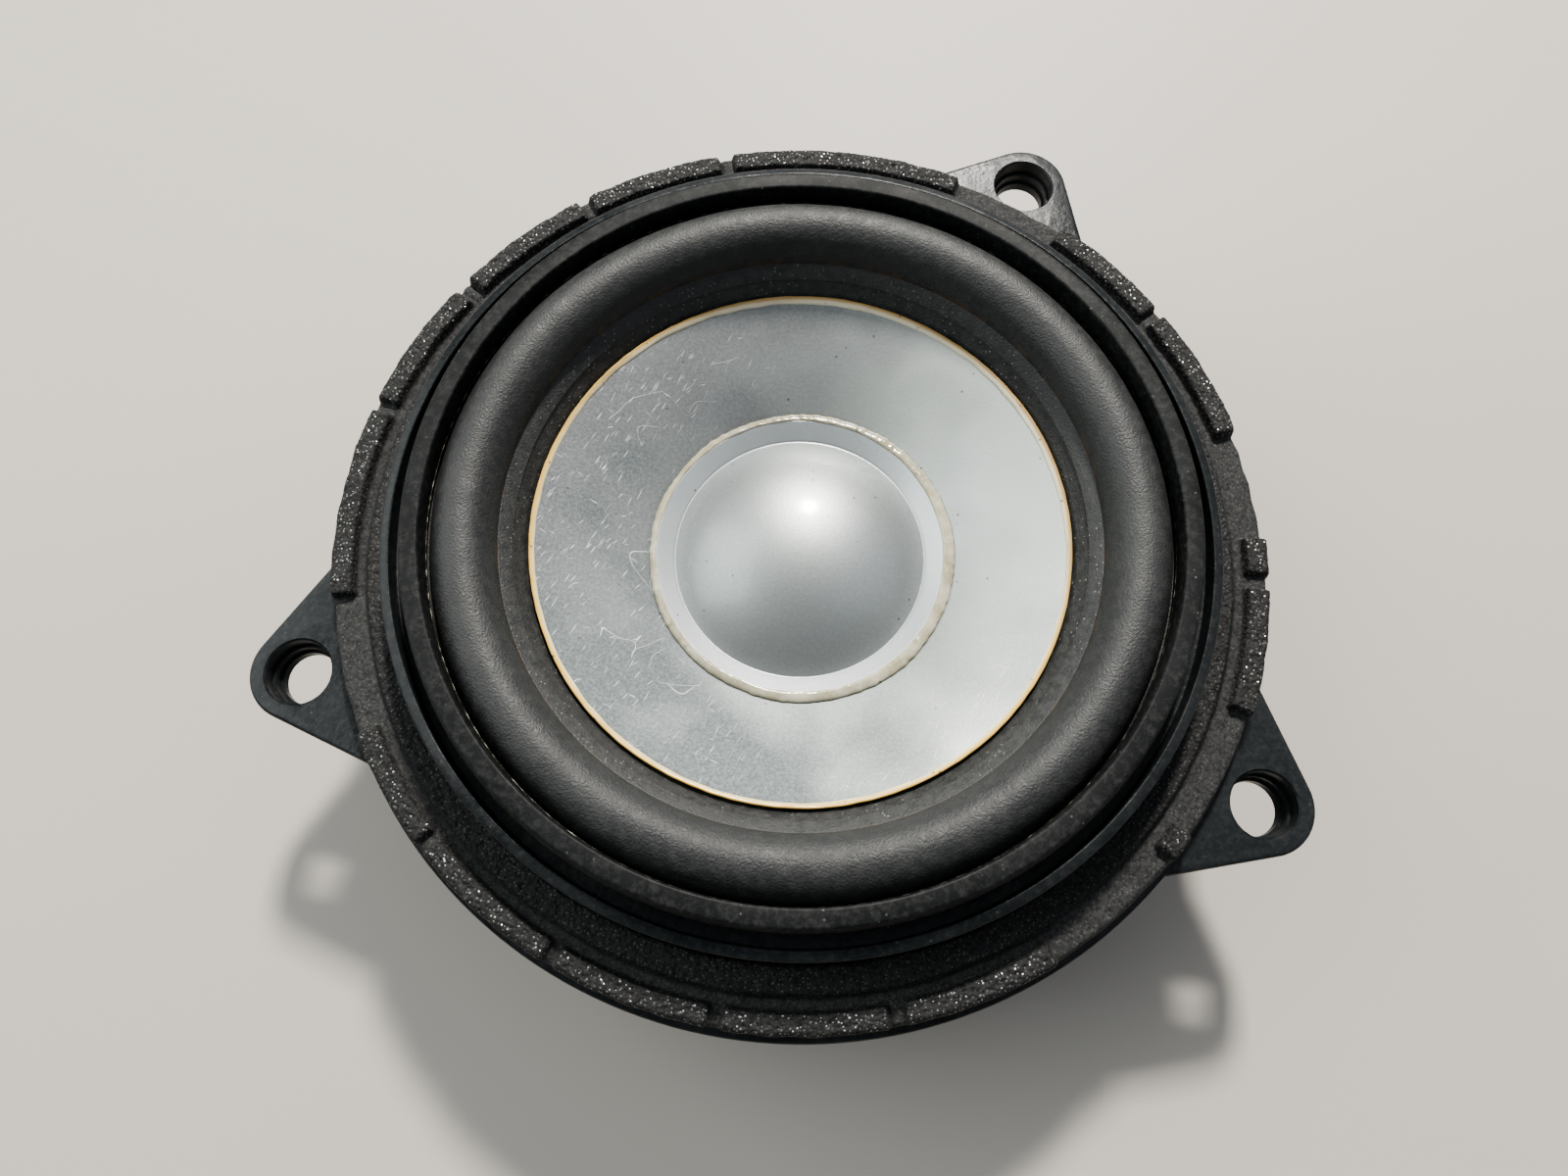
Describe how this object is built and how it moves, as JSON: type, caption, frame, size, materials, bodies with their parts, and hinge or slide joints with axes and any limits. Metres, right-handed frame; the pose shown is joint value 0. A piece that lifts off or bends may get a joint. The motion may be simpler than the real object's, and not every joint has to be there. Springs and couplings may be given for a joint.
{
  "type": "car door loudspeaker",
  "caption": "Shallow car door midrange loudspeaker: aluminium cone and dome, rubber half-roll surround, foam-faced flange with screw ears, sprung cone travel.",
  "frame": {"origin": "centre of the motor's flat back face, on the speaker's axis", "axes": "+Z along the axis, out of the front of the cone; -Y towards the connector; +X to the right seen from the front with the connector down"},
  "size_m": [0.1214, 0.1136, 0.0389],
  "materials": {
    "basket_plastic": "satin moulded",
    "gasket_foam": "closed-cell foam with glinting cut cells",
    "trim_plastic": "matte, dusty",
    "surround_rubber": "matte, dusty",
    "cone_aluminium": "satin with fine scratches",
    "dome_aluminium": "satin",
    "cream_glue": "translucent gloss",
    "amber_glue": "translucent gloss",
    "former_film": "satin film",
    "coil_copper": "lacquered",
    "spider_cloth": "stiffened weave",
    "dark_glue": "gloss",
    "motor_steel": "zinc plated",
    "magnet_nickel": "nickel plated",
    "screw_steel": "zinc plated",
    "connector_plastic": "matte moulded",
    "terminal_tin": "tin plated",
    "lead_braid": "braided"
  },
  "bodies": {
    "frame": {"basket": "basket_plastic", "foam_gasket": "gasket_foam", "trim_ring": "trim_plastic", "surround": "surround_rubber", "spider": "spider_cloth", "magnet_cup": "motor_steel", "magnet": "magnet_nickel", "pole_plate": "motor_steel", "motor_screw_1": "screw_steel", "motor_screw_2": "screw_steel", "motor_screw_3": "screw_steel", "motor_screw_4": "screw_steel", "connector_housing": "connector_plastic", "terminal_positive": "terminal_tin", "terminal_negative": "terminal_tin", "tinsel_lead_positive": "lead_braid", "tinsel_lead_negative": "lead_braid"},
    "cone_assembly": {"cone": "cone_aluminium", "dust_cap": "dome_aluminium", "dust_cap_glue": "cream_glue", "cone_edge_glue": "amber_glue", "voice_coil_former": "former_film", "voice_coil_winding": "coil_copper", "spider_glue": "dark_glue", "lead_joint_positive": "dark_glue", "lead_joint_negative": "dark_glue"}
  },
  "joints": [
    {"name": "cone_travel", "type": "slide", "parent": "frame", "child": "cone_assembly", "axis": [0, 0, 1], "range_m": [-0.003, 0.003], "stiffness_N_per_m": 1500, "deforming": ["surround", "spider", "tinsel_lead_positive", "tinsel_lead_negative"]}
  ]
}
